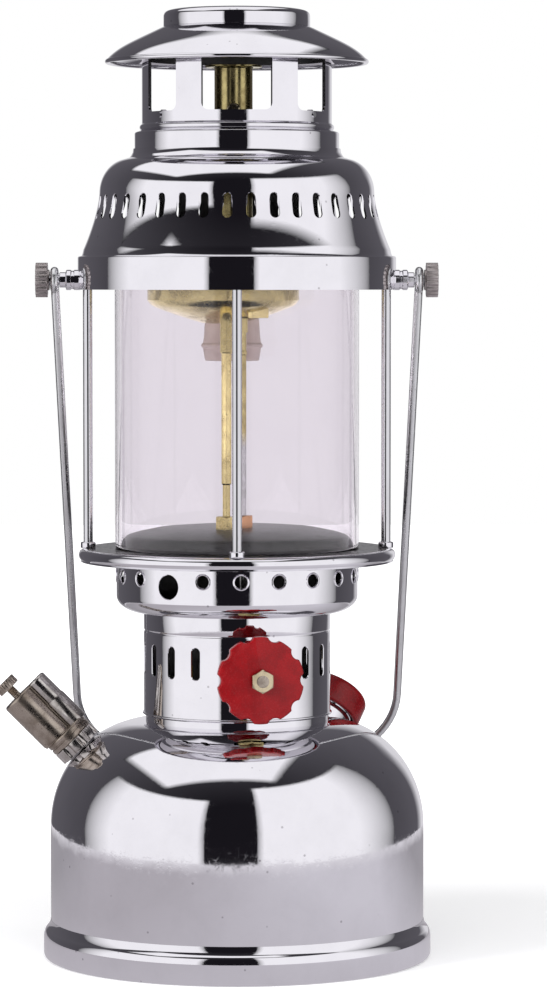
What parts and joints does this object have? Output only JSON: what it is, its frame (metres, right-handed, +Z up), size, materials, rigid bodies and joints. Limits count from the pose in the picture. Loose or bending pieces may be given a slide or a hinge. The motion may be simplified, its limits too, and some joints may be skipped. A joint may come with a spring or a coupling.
{
  "type": "kerosene pressure lantern",
  "caption": "Chromed kerosene pressure lantern with a round tank, caged glass, ventilated hood, wire bail, red control wheel and pump.",
  "frame": {"origin": "middle of the foot ring, on the surface that the lantern stands on", "axes": "+Z up along the lantern's axis, -Y towards the control wheel (front), +X to the right seen from the front"},
  "size_m": [0.187, 0.164, 0.4],
  "materials": {
    "chrome_sheet": "polished",
    "plated_steel": "polished",
    "bail_wire": "zinc plated",
    "brass": "lightly tarnished",
    "copper": "warm copper tone",
    "thumb_nut": "cast, dull",
    "aged_nickel": "brown with age",
    "red_plastic": "glossy moulded",
    "black_enamel": "satin enamel",
    "clear_glass": "clear with a faint lilac tint",
    "ceramic": "unglazed pale pink ceramic",
    "seal_rubber": "matt",
    "pump_leather": "oiled",
    "inner_steel": "dull sheet"
  },
  "bodies": {
    "lantern": {"tank_shell": "chrome_sheet", "tank_bottom": "chrome_sheet", "base_skirt": "chrome_sheet", "filler_spout": "chrome_sheet", "pump_collar": "chrome_sheet", "pump_tube": "brass", "pump_check_valve": "brass", "pump_guide_cap": "chrome_sheet", "neck_ring": "chrome_sheet", "lower_drum": "chrome_sheet", "upper_drum": "chrome_sheet", "gallery_plate": "chrome_sheet", "heat_shield": "black_enamel", "rod_front": "plated_steel", "rod_left": "plated_steel", "rod_back": "plated_steel", "rod_right": "plated_steel", "rod_feet": "plated_steel", "top_ring": "chrome_sheet", "ear_boss_left": "chrome_sheet", "ear_boss_right": "chrome_sheet", "ear_bolt_left": "plated_steel", "ear_bolt_right": "plated_steel", "glass": "clear_glass", "inner_casing": "inner_steel", "mixing_tube": "brass", "mixing_tube_screw": "brass", "burner_pan": "brass", "mixer_elbow": "brass", "clay_nozzle": "ceramic", "vaporiser_tube": "brass", "jet": "brass", "vaporiser_nut": "copper", "preheater_tube": "brass", "preheater_nut": "brass", "pickup_tube": "brass", "valve_block": "brass", "stuffing_box": "brass", "gland_nut": "brass"},
    "hood": {"hood_dome": "chrome_sheet", "hood_chimney": "chrome_sheet", "hood_brim": "chrome_sheet", "hood_cap": "chrome_sheet", "hood_screws": "plated_steel"},
    "valve_wheel_set": {"valve_spindle": "brass", "eccentric": "brass", "valve_wheel": "red_plastic", "wheel_nut": "plated_steel"},
    "pump_plunger": {"pump_rod": "plated_steel", "pump_cup": "pump_leather", "pump_knob": "red_plastic"},
    "filler_cap": {"filler_ring": "aged_nickel", "filler_barrel": "aged_nickel", "gauge_tube": "aged_nickel", "filler_seal": "seal_rubber"},
    "bail": {"bail": "bail_wire"},
    "needle": {"needle_rod": "plated_steel"},
    "bleed_screw": {"bleed_screw": "aged_nickel"},
    "thumb_nut_left": {"thumb_nut_left": "thumb_nut"},
    "thumb_nut_right": {"thumb_nut_right": "thumb_nut"}
  },
  "joints": [
    {"name": "hood_lift", "type": "slide", "parent": "lantern", "child": "hood", "axis": [0, 0, 1], "range_m": [0, 0.11]},
    {"name": "bail_swing", "type": "hinge", "parent": "lantern", "child": "bail", "pos_m": [0, 0, 0.286], "axis": [1, 0, 0], "range_deg": [0, 319]},
    {"name": "valve_turn", "type": "hinge", "parent": "lantern", "child": "valve_wheel_set", "pos_m": [0.00868, -0.04924, 0.122], "axis": [0.1736, -0.9848, 0], "range_deg": [0, 180]},
    {"name": "needle_lift", "type": "slide", "parent": "lantern", "child": "needle", "axis": [0, 0, 1], "range_m": [0, 0.00301]},
    {"name": "pump_stroke", "type": "slide", "parent": "lantern", "child": "pump_plunger", "axis": [0.3957, 0.5065, 0.766], "range_m": [0, 0.062]},
    {"name": "filler_cap_lift", "type": "slide", "parent": "lantern", "child": "filler_cap", "axis": [-0.7071, 0, 0.7071], "range_m": [0, 0.035]},
    {"name": "bleed_screw_turn", "type": "hinge", "parent": "filler_cap", "child": "bleed_screw", "pos_m": [-0.0685, 0, 0.08565], "axis": [-0.7071, 0, 0.7071], "range_deg": [0, 360]},
    {"name": "thumb_nut_left_turn", "type": "hinge", "parent": "lantern", "child": "thumb_nut_left", "pos_m": [-0.0797, 0, 0.286], "axis": [-1, 0, 0], "range_deg": [0, 360]},
    {"name": "thumb_nut_right_turn", "type": "hinge", "parent": "lantern", "child": "thumb_nut_right", "pos_m": [0.0797, 0, 0.286], "axis": [1, 0, 0], "range_deg": [0, 360]}
  ],
  "couplings": [
    {"joint": "needle_lift", "follows": "valve_turn", "m_per_rad": 0.00095493}
  ]
}
